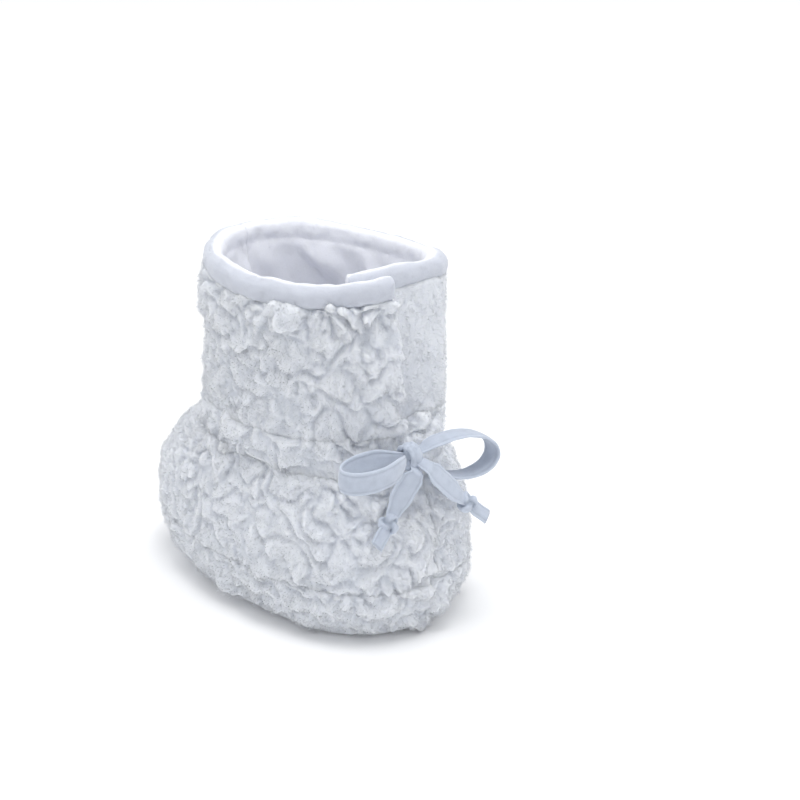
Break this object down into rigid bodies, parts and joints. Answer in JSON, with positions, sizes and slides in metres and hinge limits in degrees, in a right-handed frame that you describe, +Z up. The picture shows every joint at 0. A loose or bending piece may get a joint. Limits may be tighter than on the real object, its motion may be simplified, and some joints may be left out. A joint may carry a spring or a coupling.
{
  "type": "baby bootie",
  "caption": "Soft baby bootie of looped fleece with a pinched ankle, a wrapped leg with an opening flap, a rolled lining cuff and a tied ribbon bow.",
  "frame": {"origin": "on the ground under the leg's axis, which is the middle of the ankle seen from above", "axes": "+Z up, toe towards -Y, wearer's left towards +X; this bootie's flap lies on the wearer's right"},
  "size_m": [0.0674, 0.1159, 0.1102],
  "materials": {
    "fleece": "deep looped pile in soft clumps, matt",
    "lining": "smooth short-napped jersey with a soft sheen",
    "ribbon": "velvety folded ribbon with stitched edges",
    "thread": "sewing thread",
    "hook_tape": "stiff woven tape with small hooks",
    "loop_tape": "woven tape with a brushed loop pile",
    "wadding": "soft felted fibre",
    "elastic": "ribbed knitted elastic"
  },
  "bodies": {
    "foot": {"outsole": "fleece", "sole_wadding": "wadding", "insole": "lining", "upper_right": "fleece", "upper_left": "fleece", "foot_lining": "lining", "ankle_gather": "fleece", "ankle_lining": "lining", "ankle_elastic": "elastic", "sole_seam_thread": "thread", "toe_seam_thread": "thread", "heel_seam_thread": "thread", "bow_knot": "ribbon", "bow_tack_thread": "thread"},
    "leg": {"leg_right": "fleece", "leg_left": "fleece", "leg_lining_right": "lining", "leg_lining_left": "lining", "cuff_right": "lining", "cuff_left": "lining", "loop_tape": "loop_tape", "back_seam_thread": "thread", "tape_thread_loop": "thread"},
    "flap": {"flap_panel": "fleece", "flap_lining": "lining", "flap_cuff": "lining", "hook_tape": "hook_tape", "tape_thread_hook": "thread"},
    "loop_right": {"bow_loop_right": "ribbon"},
    "loop_left": {"bow_loop_left": "ribbon"},
    "tail_right": {"tail_right": "ribbon", "tail_knot_right": "ribbon", "tail_end_right": "ribbon"},
    "tail_left": {"tail_left": "ribbon", "tail_knot_left": "ribbon", "tail_end_left": "ribbon"}
  },
  "joints": [
    {"name": "ankle_flex", "type": "hinge", "parent": "foot", "child": "leg", "pos_m": [0, 0, 0.052], "axis": [1, 0, 0], "range_deg": [-12, 5], "deforming": ["ankle_gather", "ankle_lining", "ankle_elastic"]},
    {"name": "flap_open", "type": "hinge", "parent": "leg", "child": "flap", "pos_m": [-0.01629, -0.04181, 0.07028], "axis": [0.345, -0.6263, -0.6991], "range_deg": [0, 100]},
    {"name": "loop_right_lift", "type": "hinge", "parent": "foot", "child": "loop_right", "pos_m": [-0.0097, -0.04445, 0.05805], "axis": [0, 1, 0], "range_deg": [-6, 35]},
    {"name": "loop_left_lift", "type": "hinge", "parent": "foot", "child": "loop_left", "pos_m": [-0.00519, -0.04471, 0.05745], "axis": [0, -1, 0], "range_deg": [-3, 35]},
    {"name": "tail_right_lift", "type": "hinge", "parent": "foot", "child": "tail_right", "pos_m": [-0.0086, -0.0486, 0.0546], "axis": [-1, 0, 0], "range_deg": [0, 40]},
    {"name": "tail_left_lift", "type": "hinge", "parent": "foot", "child": "tail_left", "pos_m": [-0.0054, -0.0503, 0.0557], "axis": [-1, 0, 0], "range_deg": [0, 40]}
  ]
}
